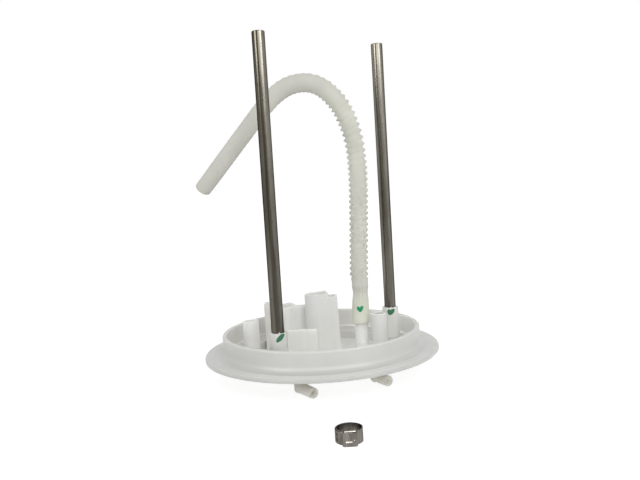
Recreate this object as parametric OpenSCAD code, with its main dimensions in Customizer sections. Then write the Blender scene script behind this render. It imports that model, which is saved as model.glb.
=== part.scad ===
// Cover half of a fuel tank sending unit, as it lies with its outer side down.
// Origin: flange axis on the seating face. +Z runs along the guide rods. Millimetres.

/* [Flange] */
// Outside diameter of the flange rim
flange_d = 160; // [152:1:180]
// Thickness of the rim
flange_t = 2.5; // [2.2:0.1:4]
// Rounding of the rim's edge
rim_round = 1; // [0.2:0.1:1]
// Outside diameter of the upright collar
collar_d = 135.2; // [132:0.2:144]
// Height of the collar above the seating face
collar_h = 13.4; // [8:0.1:20]
// Wall of the collar
collar_wall = 3; // [2:0.1:4]
// Diameter of the sunk floor inside the collar
pan_d = 99; // [98:0.5:108]
// Depth of the sunk floor below the seating face
pan_depth = 6; // [4:0.1:6]
// Wall and floor thickness of the sunk floor
pan_t = 2.5; // [2:0.1:3]

/* [Guide rods] */
// Diameter of the guide rods
rod_d = 8; // [6:0.1:9]
// Height of the rod tops above the seating face
rod_top = 206; // [190:0.5:260]
// Distance of the rods' middle lines from the collar's inner wall
rod_inset = 11.5; // [8.6:0.1:13.6]
// Direction of the left rod, counted from +X
rod_left_angle = 240; // [236:0.5:242]
// Direction of the right rod, counted from +X
rod_right_angle = 18.6; // [12:0.1:30]
// How far the rods reach below the seating face
rod_seat = 5; // [3:0.1:6]
// Bevel at the rod ends
rod_bevel = 0.5; // [0.2:0.1:1]
// Groove cut in each rod at its socket's mouth: depth
rod_groove = 0.3; // [0.2:0.05:0.6]
// Groove cut in each rod at its socket's mouth: width
rod_groove_w = 1.5; // [1:0.1:3]

/* [Sockets] */
// Outside diameter of the rod sockets
socket_d = 11.7; // [11:0.1:13]
// Height of the rod sockets
socket_h = 22; // [16:0.5:30]
// Outside diameter of the spare sockets
spare_d = 10.7; // [9.5:0.1:11.5]
// Bore of the spare sockets
spare_bore = 7.4; // [6:0.1:8]
// Height of the spare sockets
spare_h = 22.5; // [16:0.5:30]
// Distance of the left spare socket from the axis
spare_left_r = 47.9; // [46:0.1:49]
// Direction of the left spare socket, counted from +X
spare_left_angle = 189.6; // [186:0.2:196]
// Distance of the right spare socket from the axis
spare_right_r = 40.4; // [40:0.1:43]
// Direction of the right spare socket, counted from +X
spare_right_angle = -11.4; // [-14:0.2:-10]
// Bevel at socket, stem and tower mouths
mouth_bevel = 0.4; // [0.2:0.1:0.6]

/* [Hose stem and cuffs] */
// Distance of the stem from the axis along X
stem_x = 28.2; // [27:0.1:29]
// Outside diameter of the stem
stem_d = 9; // [8.4:0.1:10]
// Height of the stem's shoulder, where the hose starts
stem_h = 15; // [12:0.5:17]
// Bore of the stem
stem_bore = 5; // [4:0.1:5.4]
// Length of the barbed end inside the hose
barb_l = 17; // [14:0.5:18]
// Number of barbs
barb_count = 3; // [2:1:4]
// How far each barb stands out
barb_step = 0.5; // [0.3:0.05:0.6]
// How far the barbs press into the hose
barb_grip = 0.1; // [0.05:0.01:0.15]
// Outside diameter of the hose's lower cuff
cuff_d = 11.8; // [11.4:0.1:12.6]
// Bore of the hose
hose_bore = 8.2; // [7.8:0.1:8.6]
// Length of the lower cuff up to its neck
cuff_l = 20.5; // [19:0.5:22]
// Diameter of the neck above the lower cuff
neck_d = 9.8; // [9.4:0.1:10.4]
// Outside diameter of the corrugated hose, between crest and root
hose_d = 12.2; // [11.6:0.1:12.8]
// Outside diameter of the hose's free end cuff
end_cuff_d = 11.4; // [11:0.1:12.6]
// Length of the hose's free end cuff
end_cuff_l = 17; // [14:0.5:17]

/* [Towers] */
// Outside diameter of the round towers
tower_d = 16.8; // [16:0.1:17.4]
// Wall of the towers
tower_wall = 1.6; // [1.2:0.1:2]
// Height of the valve tower above the seating face
valve_top = 35; // [33:0.5:42]
// Place of the valve tower along X
valve_x = -1.8; // [-2.4:0.1:-1.2]
// Place of the valve tower along Y
valve_y = 12; // [11.6:0.1:12.4]
// Reach of the box on the valve tower's right, from the tower's axis
valve_box_reach = 14.5; // [13.5:0.1:15]
// How much the box grows towards its base
valve_box_flare = 0.8; // [0.2:0.1:1.2]
// Depth of that box along Y
valve_box_w = 12; // [10:0.5:13]
// How far the top of that box lies below the tower's top
valve_box_drop = 2; // [0.5:0.1:4]
// Height of the left tower above the seating face
left_top = 25.5; // [24:0.5:32]
// Gap between the left tower's fin and the wall of the sunk floor
fin_gap = 0.6; // [0.3:0.1:0.8]
// Place of the left tower along Y
left_y = 24; // [23:0.5:24.5]
// Height of the fin on the left tower's side
fin_top = 28.5; // [26:0.5:38]
// Thickness of that fin
fin_t = 3.4; // [2:0.1:3.6]
// Reach of that fin from the tower's axis
fin_reach = 14.6; // [13:0.1:14.6]
// Depth of that fin along Y
fin_w = 9; // [6:0.5:9.5]
// How much wider the tall tower is at its foot than at its mouth
tower_draft = 0.8; // [0.2:0.1:1.2]
// Height of the stop wall above the seating face
stop_top = 17.5; // [12:0.5:24]
// Length of the stop wall along X
stop_l = 19.5; // [16:0.5:20]
// Thickness of the stop wall
stop_t = 2.6; // [2:0.1:3.4]
// Reach of the webs behind the stop wall
web_reach = 10; // [6:0.5:12]
// Thickness of those webs
web_t = 1.8; // [1.4:0.1:2.6]

/* [Vent valve] */
// Height of the valve seat above the sunk floor
seat_h = 3; // [2:0.1:4]
// Diameter of the valve seat
seat_d = 6; // [5:0.1:8]
// Hole through the valve seat
seat_hole = 3; // [2:0.1:3.6]
// Length of the float
float_l = 24; // [20:0.5:25]
// Travel of the float
float_stroke = 4; // [2:0.5:5]
// Running clearance round the float
float_gap = 0.5; // [0.3:0.05:0.8]
// Gap between the float and its seat at rest
seat_gap = 0.3; // [0.2:0.05:0.5]
// Outside diameter of the valve spring
spring_d = 7; // [6:0.1:8]
// Wire of the valve spring
spring_wire = 0.6; // [0.4:0.05:0.8]
// Turns of the valve spring
spring_turns = 6; // [4:1:8]
// Thickness of the valve cap
cap_t = 1.6; // [1.2:0.1:2]

/* [Connectors] */
// Height of the inner connector above the seating face
inner_top = 23.5; // [20:0.5:32]
// Length of the inner connector along X
inner_l = 29; // [28:0.5:30]
// Depth of the inner connector along Y
inner_w = 14; // [12:0.5:15]
// Wall between the connector's pockets
pocket_wall = 1.5; // [1:0.1:2]
// Number of terminals
terminal_count = 4; // [2:1:4]
// Width of a terminal blade
blade_w = 2.8; // [2:0.1:3.5]
// Thickness of a terminal blade
blade_t = 0.8; // [0.6:0.1:1]
// Length of the outer connector shroud along X
shroud_l = 40; // [38:0.5:44]
// Depth of the outer connector shroud along Y
shroud_w = 20; // [17:0.5:22]
// Wall of the outer connector shroud
shroud_wall = 1.8; // [1.5:0.1:2.4]

/* [Pipe elbows] */
// Outside diameter of the nipples
nipple_d = 6.8; // [6.4:0.1:7.6]
// Bore of the nipples
nipple_bore = 4; // [3:0.1:4.4]
// Rounding of the nipple ends
nipple_round = 1; // [0.4:0.1:1.4]
// Direction of both nipples, counted from +X
nipple_angle = -58; // [-64:1:-52]
// Length of the left nipple from its elbow
left_nipple_l = 16.5; // [14:0.5:24]
// Length of the right nipple from its elbow
right_nipple_l = 13.5; // [12:0.5:24]
// Depth of the standing plane below the seating face
stand_depth = 17; // [16.5:0.1:19]

/* [Hose clamp] */
// Inside diameter of the clamp
clamp_bore = 12.8; // [12:0.1:14]
// Thickness of the clamp's band
clamp_t = 0.6; // [0.5:0.05:0.9]
// Width of the clamp's band
clamp_w = 7; // [5:0.1:9]
// Width of the clamp's ear
ear_w = 7.6; // [6:0.1:8.4]
// How far the ear stands out from the band
ear_h = 2; // [1.6:0.1:3]

/* [Hidden] */
$fn = 96;
flange_r = flange_d / 2;
collar_r = collar_d / 2;
collar_in = collar_r - collar_wall;
pan_r = pan_d / 2;
pan_out = pan_r + pan_t;
floor_z = -pan_depth;
under_z = floor_z - pan_t;
collar_bevel = collar_wall / 5;
stand_z = -stand_depth;
pan_bevel = 1;
// how far cuts run past the faces that they open
cut = 1;

rod_circle_r = collar_in - rod_inset;
rod_left = rod_circle_r * [cos(rod_left_angle), sin(rod_left_angle)];
rod_right = rod_circle_r * [cos(rod_right_angle), sin(rod_right_angle)];
spare_left = spare_left_r * [cos(spare_left_angle), sin(spare_left_angle)];
spare_right = spare_right_r * [cos(spare_right_angle), sin(spare_right_angle)];
stem = [stem_x, 0];
valve = [valve_x, valve_y];
left_x = fin_gap + fin_reach - sqrt(pow(pan_r, 2) - pow(left_y + fin_w / 2, 2));
left = [left_x, left_y];

// pipes: the nipples' lowest line is the standing plane
nipple_r = nipple_d / 2;
nipple_z = stand_z + nipple_r;
pipe_top = nipple_z + nipple_r;
port_pad_wall = 0.6;
port_pad_d = nipple_d + 2 * port_pad_wall;
corner_round = 2.4;
corner_r = nipple_r + 0.3;
corner_foot = 0.2;
run_d = nipple_d - 1;
run_bore = nipple_bore - 0.4;
// the nipples' full diameter starts clear of the corner and of the pad above it
nipple_root = port_pad_d / 2 + 0.3;
neck_step = 0.3;
port_left = [-14.8, -48.5];
port_right = [34, -35];

// vent valve, bottom to top: seat, float, spring, cap
tower_r = tower_d / 2;
tower_bore = tower_d - 2 * tower_wall;
seat_z = floor_z + seat_h;
float_z = seat_z + seat_gap;
float_top = float_z + float_l;
float_d = tower_bore - 2 * float_gap;
cap_z = float_top + float_stroke + seat_gap;
spring_room = 0.6;
well_d = spring_d + 2 * spring_room;
well_depth = float_l / 2;
well_z = float_top - well_depth;
spring_z = well_z + spring_wire / 2;
spring_l = cap_z - well_z - spring_wire;
float_bevel = 1;
cap_holes = 6;
cap_hole_d = 2.3;
cap_hole_r = 4.3;

// connectors: the inner one stands behind the valve tower, the outer one below it
inner_gap = 0.6;
inner_y = valve_y + tower_r + tower_draft / 2 + inner_gap;
inner_x = left_x + tower_r + inner_gap;
terminal_pitch = (inner_l - pocket_wall) / terminal_count;
terminal_y = inner_y + inner_w / 2;
pocket_z = 2;
blade_sunk = 5;
blade_top = inner_top - blade_sunk;
shroud_x = inner_x + inner_l / 2 - shroud_l / 2;
shroud_y = terminal_y - shroud_w / 2;
blade_guard = 2;
blade_low = stand_z + blade_guard;
inner_round = 1;
shroud_round = 4;
function terminal_x(i) = inner_x + pocket_wall / 2 + (i + 0.5) * terminal_pitch;

// towers and stop wall
valve_box_depth = 9;
left_floor = 2;
left_web_drop = 4;
stop_x = -22;
stop_y = -25;
stop_round = 0.6;
web_inset = 1;
web_drop = 2;
web_foot = 1;
web_bite = 0.5;

// hose: the lower cuff, the swept tube and the end cuff meet face to face
cuff_z = stem_h;
neck_z = cuff_z + cuff_l;
neck_l = 2.2;
neck_bevel = 1;
flare_l = 3.3;
cuff_top = neck_z + neck_l + flare_l;
barb_root_d = hose_bore + 2 * barb_grip - 2 * barb_step;
barb_pitch = barb_l / (barb_count + 0.5);
// how far before and behind its place a barb's crest and foot lie, as parts of the pitch
barb_crest = 0.3;
barb_foot = 0.2;
// points of the hose's middle line, [x, z], in the plane y = 0
hose_route = [
    [28.2, 41], [29, 60], [30, 80], [31, 100], [31.5, 114], [31.2, 127], [30, 140], [27, 152],
    [22, 163.5], [15, 172.5], [7.5, 178], [-1.5, 180.2], [-12, 178.5], [-22, 172.5], [-31, 163.5],
    [-40.5, 152.5], [-52.5, 138.5], [-64, 125]];
hose_sides = 12;
hose_steps = 3;
end_angle = 49.5;

clamp_x = 12;
clamp_y = -132.5;
clamp_r = clamp_bore / 2;
ear_corner = [0.9, 1.2];

// Stands a shape on a point of the plan at a height.
module at(p, z = 0) {
    translate([p[0], p[1], z]) children();
}

// Round tube with bevelled mouth, from z = 0 up.
module round_tube(d, bore, h, bevel) {
    rotate_extrude()
        polygon([[bore / 2, 0], [d / 2, 0], [d / 2, h - bevel], [d / 2 - bevel, h],
            [bore / 2 + bevel / 2, h], [bore / 2, h - bevel / 2]]);
}

// Plan of a rectangle with round corners, its lower left corner at the origin.
module round_rect(l, w, r) {
    translate([r, r]) square([l - 2 * r, w - 2 * r]);
    translate([r, 0]) square([l - 2 * r, w]);
    translate([0, r]) square([l, w - 2 * r]);
    for (x = [r, l - r], y = [r, w - r])
        translate([x, y]) circle(r);
}

// Turned profile of the flange: rim, collar, ledge and sunk floor.
module flange_profile() {
    polygon(concat(
        [[0, floor_z], [0, under_z], [pan_out - pan_bevel, under_z], [pan_out, under_z + pan_bevel],
            [pan_out, -flange_t]],
        [for (a = [-90:15:0]) [flange_r - rim_round + rim_round * cos(a),
            rim_round - flange_t + rim_round * sin(a)]],
        [for (a = [0:15:90]) [flange_r - rim_round + rim_round * cos(a), rim_round * sin(a) - rim_round]],
        [[collar_r, 0], [collar_r, collar_h - collar_bevel], [collar_r - collar_bevel, collar_h],
            [collar_in + collar_bevel, collar_h], [collar_in, collar_h - collar_bevel], [collar_in, 0],
            [pan_r, 0], [pan_r, floor_z]]));
}

// A level round bar between two points of the plan.
module level_bar(a, b, d) {
    run = b - a;
    at(a) rotate([0, 90, atan2(run[1], run[0])]) cylinder(d = d, h = norm(run));
}

module tank_flange() color([0.83, 0.83, 0.82]) {
    difference() {
        union() {
            rotate_extrude($fn = 180) flange_profile();
            for (p = [rod_left, rod_right])
                at(p, under_z) cylinder(d = socket_d, h = -under_z);
            for (p = [spare_left, spare_right])
                at(p, under_z) cylinder(d = spare_d, h = -under_z);
            for (p = [port_left, port_right])
                at(p, pipe_top) cylinder(d = port_pad_d, h = -pipe_top - flange_t / 2);
            at(valve, floor_z) cylinder(d = seat_d, h = seat_h);
        }
        for (p = [rod_left, rod_right])
            at(p, -rod_seat) cylinder(d = rod_d, h = rod_seat + cut);
        at(valve, under_z - cut) cylinder(d = seat_hole, h = seat_z - under_z + 2 * cut);
        at(stem, under_z - cut) cylinder(d = nipple_bore, h = pan_t + 2 * cut);
        for (i = [0:terminal_count - 1])
            translate([terminal_x(i) - blade_w / 2, terminal_y - blade_t / 2, under_z - cut])
                cube([blade_w, blade_t, pan_t + 2 * cut]);
    }
}

module rod_socket(p) color([0.82, 0.82, 0.80]) {
    at(p) round_tube(socket_d, rod_d, socket_h, mouth_bevel);
}
module rod_socket_left() rod_socket(rod_left);
module rod_socket_right() rod_socket(rod_right);

module spare_socket(p) color([0.86, 0.86, 0.84]) {
    at(p) round_tube(spare_d, spare_bore, spare_h, mouth_bevel);
}
module spare_socket_left() spare_socket(spare_left);
module spare_socket_right() spare_socket(spare_right);

// Ground steel rod, grooved where it leaves its socket.
module guide_rod(p) color([0.36, 0.33, 0.30]) {
    r = rod_d / 2;
    at(p) rotate_extrude()
        polygon([[0, -rod_seat], [r - rod_bevel, -rod_seat], [r, rod_bevel - rod_seat],
            [r, socket_h - rod_groove_w], [r - rod_groove, socket_h - rod_groove_w],
            [r - rod_groove, socket_h], [r, socket_h], [r, rod_top - rod_bevel],
            [r - rod_bevel, rod_top], [0, rod_top]]);
}
module guide_rod_left() guide_rod(rod_left);
module guide_rod_right() guide_rod(rod_right);

// Stem on the sunk floor, with sawtooth barbs above its shoulder.
module hose_stem() color([0.87, 0.88, 0.82]) {
    root = barb_root_d / 2;
    at(stem) rotate_extrude()
        polygon(concat(
            [[stem_bore / 2, floor_z], [stem_d / 2, floor_z], [stem_d / 2, stem_h], [root, stem_h]],
            [for (i = [1:barb_count], side = [0, 1])
                side == 0 ? [root + barb_step, stem_h + (i - barb_crest) * barb_pitch]
                    : [root, stem_h + (i + barb_foot) * barb_pitch]],
            [[root, stem_h + barb_l], [stem_bore / 2, stem_h + barb_l]]));
}

// Smooth lower end of the hose, pushed over the barbs, with a neck above it.
module hose_lower_cuff() color([0.83, 0.84, 0.74]) {
    at(stem) rotate_extrude()
        polygon([[hose_bore / 2, cuff_z], [cuff_d / 2 - mouth_bevel, cuff_z],
            [cuff_d / 2, cuff_z + mouth_bevel], [cuff_d / 2, neck_z - neck_bevel], [neck_d / 2, neck_z],
            [neck_d / 2, neck_z + neck_l], [hose_d / 2, cuff_top], [hose_bore / 2, cuff_top]]);
}

// Point, and its slope, on the smooth curve through the route's points.
function route_at(i) = hose_route[max(0, min(len(hose_route) - 1, i))];
function curve(i, t) = let (a = route_at(i - 1), b = route_at(i), c = route_at(i + 1), d = route_at(i + 2))
    0.5 * (2 * b + (c - a) * t + (2 * a - 5 * b + 4 * c - d) * t * t + (3 * b - 3 * c + d - a) * t * t * t);
// Middle line of the tube, with its first and last points on the cuffs' faces.
hose_line = concat(
    [for (i = [0:len(hose_route) - 2], k = [0:hose_steps - 1]) curve(i, k / hose_steps)],
    [hose_route[len(hose_route) - 1]]);
function line_slope(n) = n == 0 ? [0, 1]
    : n == len(hose_line) - 1 ? [-cos(end_angle), -sin(end_angle)]
    : let (run = hose_line[n + 1] - hose_line[n - 1]) run / norm(run);
function ring(n, r) = let (p = hose_line[n], s = line_slope(n))
    [for (k = [0:hose_sides - 1]) let (a = 360 * k / hose_sides)
        [p[0] + r * cos(a) * s[1], r * sin(a), p[1] - r * cos(a) * s[0]]];

// Number of the point k of ring n, on the tube's outer skin.
function spot(n, k) = n * hose_sides + k % hose_sides;

// Hollow tube of the corrugated stretch, swept along its middle line.
module hose() color([0.77, 0.77, 0.74]) {
    rings = len(hose_line);
    side = rings * hose_sides;
    outer = [for (n = [0:rings - 1]) each ring(n, hose_d / 2)];
    inner = [for (n = [0:rings - 1]) each ring(n, hose_bore / 2)];
    polyhedron(
        points = concat(outer, inner),
        faces = concat(
            [for (n = [0:rings - 2], k = [0:hose_sides - 1])
                [spot(n, k), spot(n + 1, k), spot(n + 1, k + 1), spot(n, k + 1)]],
            [for (n = [0:rings - 2], k = [0:hose_sides - 1])
                [side + spot(n, k), side + spot(n, k + 1), side + spot(n + 1, k + 1), side + spot(n + 1, k)]],
            [for (k = [0:hose_sides - 1])
                [spot(0, k), spot(0, k + 1), side + spot(0, k + 1), side + spot(0, k)]],
            [for (k = [0:hose_sides - 1]) [spot(rings - 1, k), side + spot(rings - 1, k),
                side + spot(rings - 1, k + 1), spot(rings - 1, k + 1)]]));
}

// Plain free end of the hose.
module hose_end_cuff() color([0.78, 0.78, 0.75]) {
    end = hose_route[len(hose_route) - 1];
    translate([end[0], 0, end[1]]) rotate([0, 270 - end_angle, 0])
        round_tube(end_cuff_d, hose_bore, end_cuff_l, mouth_bevel);
}

// Tall tower: round tube with a flared hollow box on its right side.
module vent_valve_housing() color([0.88, 0.88, 0.86]) {
    box_top = valve_top - valve_box_drop;
    inside = valve_box_reach - tower_wall;
    difference() {
        union() {
            at(valve, floor_z) cylinder(d1 = tower_d + tower_draft, d2 = tower_d, h = valve_top - floor_z);
            at(valve) translate([0, valve_box_w / 2, 0]) rotate([90, 0, 0])
                linear_extrude(valve_box_w)
                    polygon([[0, floor_z], [valve_box_reach + valve_box_flare, floor_z],
                        [valve_box_reach, box_top], [0, box_top]]);
        }
        at(valve, floor_z - cut) cylinder(d = tower_bore, h = valve_top - floor_z + 2 * cut);
        at(valve) translate([tower_r, tower_wall - valve_box_w / 2, box_top - valve_box_depth])
            cube([inside - tower_r, valve_box_w - 2 * tower_wall, valve_box_depth + cut]);
    }
}

// Float of the vent valve, with a well for its spring.
module vent_valve_float() color([0.25, 0.25, 0.27]) {
    at(valve, float_z) rotate_extrude()
        polygon([[0, 0], [float_d / 2 - float_bevel, 0], [float_d / 2, float_bevel], [float_d / 2, float_l],
            [well_d / 2, float_l], [well_d / 2, float_l - well_depth], [0, float_l - well_depth]]);
}

// Round wire wound between the float's well and the cap.
module vent_valve_spring() color([0.62, 0.62, 0.64]) {
    per_turn = 14;
    sides = 6;
    r = spring_d / 2 - spring_wire / 2;
    rings = spring_turns * per_turn;
    points = [for (n = [0:rings], k = [0:sides - 1])
        let (a = 360 * n / per_turn, b = 360 * k / sides, out = r + spring_wire / 2 * cos(b))
        [out * cos(a), out * sin(a), spring_l * n / rings + spring_wire / 2 * sin(b)]];
    at(valve, spring_z) polyhedron(
        points = points,
        faces = concat(
            [[for (k = [0:sides - 1]) k]],
            [[for (k = [sides - 1:-1:0]) rings * sides + k]],
            [for (n = [0:rings - 1], k = [0:sides - 1])
                [n * sides + k, (n + 1) * sides + k, (n + 1) * sides + (k + 1) % sides,
                    n * sides + (k + 1) % sides]]));
}

// Round cap pressed in the tower's bore, with vent holes.
module vent_valve_cap() color([0.84, 0.84, 0.82]) {
    at(valve, cap_z) difference() {
        cylinder(d = tower_bore, h = cap_t);
        for (i = [1:cap_holes])
            rotate(i * 360 / cap_holes) translate([cap_hole_r, 0, -cut])
                cylinder(d = cap_hole_d, h = cap_t + 2 * cut, $fn = 32);
    }
}

// Shorter round tower with a fin on its left.
module left_tower() color([0.86, 0.86, 0.84]) {
    difference() {
        union() {
            at(left, floor_z) cylinder(d = tower_d, h = left_top - floor_z);
            at(left, floor_z) translate([-fin_reach, -tower_wall / 2, 0])
                cube([fin_reach, tower_wall, left_top - floor_z - left_web_drop]);
            at(left, floor_z) translate([-fin_reach, -fin_w / 2, 0])
                cube([fin_t, fin_w, fin_top - floor_z]);
        }
        at(left, floor_z + left_floor) cylinder(d = tower_bore, h = left_top - floor_z);
    }
}

// Low wall held up by sloping webs behind it.
module stop_wall() color([0.87, 0.87, 0.85]) {
    h = stop_top - floor_z;
    translate([stop_x, stop_y, floor_z]) {
        linear_extrude(h) round_rect(stop_l, stop_t, stop_round);
        for (x = [web_inset, (stop_l - web_t) / 2, stop_l - web_t - web_inset])
            translate([x, stop_t, 0]) rotate([90, 0, 90]) linear_extrude(web_t)
                polygon([[-web_bite, 0], [web_reach, 0], [web_reach, web_foot], [web_foot, h - web_drop],
                    [-web_bite, h - web_drop]]);
    }
}

// Housing with one pocket for each terminal.
module inner_connector() color([0.85, 0.85, 0.83]) {
    difference() {
        translate([inner_x, inner_y, floor_z])
            linear_extrude(inner_top - floor_z) round_rect(inner_l, inner_w, inner_round);
        for (i = [0:terminal_count - 1])
            translate([terminal_x(i) - (terminal_pitch - pocket_wall) / 2, inner_y + pocket_wall, pocket_z])
                cube([terminal_pitch - pocket_wall, inner_w - 2 * pocket_wall, inner_top - pocket_z + cut]);
        for (i = [0:terminal_count - 1])
            translate([terminal_x(i) - blade_w / 2, terminal_y - blade_t / 2, floor_z - cut])
                cube([blade_w, blade_t, pocket_z - floor_z + 2 * cut]);
    }
}

// Shroud round the terminals under the floor; its mouth lies in the standing plane.
module outer_connector() color([0.80, 0.80, 0.78]) {
    depth = under_z - stand_z;
    translate([shroud_x, shroud_y, stand_z]) linear_extrude(depth) difference() {
        round_rect(shroud_l, shroud_w, shroud_round);
        translate([shroud_wall, shroud_wall])
            round_rect(shroud_l - 2 * shroud_wall, shroud_w - 2 * shroud_wall, shroud_round - shroud_wall);
    }
}

module terminals() color([0.72, 0.68, 0.55]) {
    for (i = [0:terminal_count - 1])
        translate([terminal_x(i) - blade_w / 2, terminal_y - blade_t / 2, blade_low])
            cube([blade_w, blade_t, blade_top - blade_low]);
}

// Upright corner of a pipe, with a rounded foot just above the standing plane.
module pipe_corner(top) {
    foot = corner_foot - nipple_r;
    rotate_extrude()
        polygon(concat([[0, foot]],
            [for (a = [-90:15:0]) [corner_r - corner_round + corner_round * cos(a),
                foot + corner_round + corner_round * sin(a)]],
            [[corner_r, top - nipple_z], [0, top - nipple_z]]));
}

// Nipple, corner, level run under the floor and riser to what the pipe serves, bored through.
module pipe(port, target, l) color([0.74, 0.74, 0.70]) {
    translate([0, 0, nipple_z]) difference() {
        union() {
            level_bar(port, target, run_d);
            at(port) pipe_corner(pipe_top);
            at(target) pipe_corner(under_z);
            at(port) rotate([0, 90, nipple_angle]) rotate_extrude()
                polygon(concat([[0, 0], [nipple_r - neck_step, 0], [nipple_r - neck_step, nipple_root],
                    [nipple_r, nipple_root]],
                    [for (a = [0:15:90]) [nipple_r - nipple_round + nipple_round * cos(a),
                        l - nipple_round + nipple_round * sin(a)]],
                    [[0, l]]));
        }
        level_bar(port, target, run_bore);
        at(target) cylinder(d = nipple_bore, h = under_z - nipple_z + cut);
        at(port) rotate([0, 90, nipple_angle]) cylinder(d = nipple_bore, h = l + cut);
    }
}
module pipe_elbow_left() pipe(port_left, valve, left_nipple_l);
module pipe_elbow_right() pipe(port_right, stem, right_nipple_l);

// Outline of the clamp's ear at a given distance inside its outer skin.
module ear_outline(inset) {
    half = ear_w / 2 - inset;
    top = clamp_r + clamp_t + ear_h - inset;
    polygon([[-half, -clamp_r / 2], [-half, ear_corner[1] - top], [ear_corner[0] - half, -top],
        [half - ear_corner[0], -top], [half, ear_corner[1] - top], [half, -clamp_r / 2]]);
}

// Stepless band with one hollow ear towards the front.
module hose_clamp() color([0.50, 0.50, 0.49]) {
    translate([clamp_x, clamp_y, stand_z]) difference() {
        linear_extrude(clamp_w) difference() {
            union() {
                circle(clamp_r + clamp_t);
                ear_outline(0);
            }
            difference() {
                ear_outline(clamp_t);
                circle(clamp_r + clamp_t);
            }
        }
        translate([0, 0, -cut]) cylinder(d = clamp_bore, h = clamp_w + 2 * cut);
    }
}

tank_flange();
rod_socket_left();
rod_socket_right();
spare_socket_left();
spare_socket_right();
guide_rod_left();
guide_rod_right();
hose_stem();
hose_lower_cuff();
hose();
hose_end_cuff();
vent_valve_housing();
vent_valve_float();
vent_valve_spring();
vent_valve_cap();
left_tower();
stop_wall();
inner_connector();
outer_connector();
terminals();
pipe_elbow_left();
pipe_elbow_right();
hose_clamp();
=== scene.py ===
# Cover half of a fuel tank sending unit, lying with its outer side down.
# Origin: flange axis on the seating face, +Z along the guide rods. Shapes are made in millimetres.
import math

import bmesh
import bpy
from mathutils import Matrix, Vector


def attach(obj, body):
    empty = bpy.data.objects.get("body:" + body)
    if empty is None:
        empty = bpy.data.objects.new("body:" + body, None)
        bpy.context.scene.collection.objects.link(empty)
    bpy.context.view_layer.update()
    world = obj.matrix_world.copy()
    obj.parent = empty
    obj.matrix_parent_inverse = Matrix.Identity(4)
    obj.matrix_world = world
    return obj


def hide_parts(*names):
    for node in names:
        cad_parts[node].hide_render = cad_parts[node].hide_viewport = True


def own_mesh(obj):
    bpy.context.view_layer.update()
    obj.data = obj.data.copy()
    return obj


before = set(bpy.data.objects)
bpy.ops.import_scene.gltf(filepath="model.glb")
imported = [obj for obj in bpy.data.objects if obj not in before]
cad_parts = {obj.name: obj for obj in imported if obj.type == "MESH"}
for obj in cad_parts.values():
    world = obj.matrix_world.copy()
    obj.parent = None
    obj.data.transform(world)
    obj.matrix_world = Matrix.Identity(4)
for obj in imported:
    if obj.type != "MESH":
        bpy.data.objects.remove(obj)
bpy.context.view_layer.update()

MM = 0.001
TURN = 2 * math.pi

# Camera: the photograph's view
CAMERA_AT = (0.00315, -0.47206, 0.11473)
CAMERA_DOWN = 4.95
CAMERA_ROLL = 3.47
CAMERA_LENS = 38.96

# Flange
FLANGE_R = 80.0
FLANGE_T = 2.5
COLLAR_R = 67.6
COLLAR_IN = 64.6
COLLAR_H = 13.4
PAN_R = 49.5
PAN_OUT = 52.0
FLOOR_Z = -6.0
UNDER_Z = -8.5
STAND_Z = -17.0
BOSS_TOP = -0.2

# Rods and sockets
ROD_R = 4.0
ROD_TOP = 206.0
ROD_FOOT = -5.0
ROD_LEFT = (-26.55, -45.986)
ROD_RIGHT = (50.327, 16.936)
SOCKET_R = 5.85
SOCKET_H = 22.0
SPARE_R = 5.35
SPARE_BORE_R = 3.7
SPARE_H = 22.5
SPARE_LEFT = (-47.23, -7.99)
SPARE_RIGHT = (39.60, -7.99)

# Pipe elbows under the flange
PIPE_ROOTS = ((-14.8, -48.5), (34.0, -35.0))
PIPE_PAD_R = 4.0
PIPE_PAD_Z = -10.2
PIPE_MOUTHS = ((-6.96, -61.05, -13.6), (40.25, -45.01, -13.6))

# Stem, cuffs and hose
STEM = (28.2, 0.0)
STEM_R = 4.5
STEM_BORE_R = 2.5
STEM_H = 15.0
STEM_RINGS = 5
STEM_RING_Z = 2.0
STEM_RING_PITCH = 2.2
BARB_L = 17.0
BARBS = 3
BARB_DEPTH = 0.5
HOSE_BORE_R = 4.1
CUFF_R = 5.9
CUFF_TOP = 41.0
END_CUFF_R = 5.7
END_CUFF_L = 17.0
END_SKEW = 0.34
END_ANGLE = 49.5
ROUTE = [
    (28.2, 41), (29, 60), (30, 80), (31, 100), (31.5, 114), (31.2, 127), (30, 140), (27, 152),
    (22, 163.5), (15, 172.5), (7.5, 178), (-1.5, 180.2), (-12, 178.5), (-22, 172.5), (-31, 163.5),
    (-40.5, 152.5), (-52.5, 138.5), (-64, 125)]
RIBS = 63
RIB_STEPS = 10
HOSE_SIDES = 36
CUFF_LEAN = 0.55
SIDE_TURN = 0.7
HOSE_CALM = 0.88

# The hose's middle radius and its ribs' half height, shift and pointedness at its foot, and their changes.
# Each change is its amount and the parts of the hose's length where it starts and ends.
HOSE_R = 5.6
HOSE_R_CHANGES = (
    (0.1, 0.01, 0.03), (0.15, 0.1, 0.25), (0.35, 0.36, 0.55), (-0.35, 0.68, 0.82), (-0.1, 0.85, 1))
RIB_DEPTH = 0.78
RIB_DEPTH_CHANGES = ((0.3, 0.28, 0.42), (-0.86, 0.48, 0.62), (-0.15, 0.68, 0.84))
RIB_SHIFT = 0.92
RIB_SHIFT_CHANGES = ((-0.42, 0.36, 0.47),)
RIB_POINT = 0.2
RIB_POINT_CHANGES = ((0.8, 0.28, 0.4),)

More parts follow.
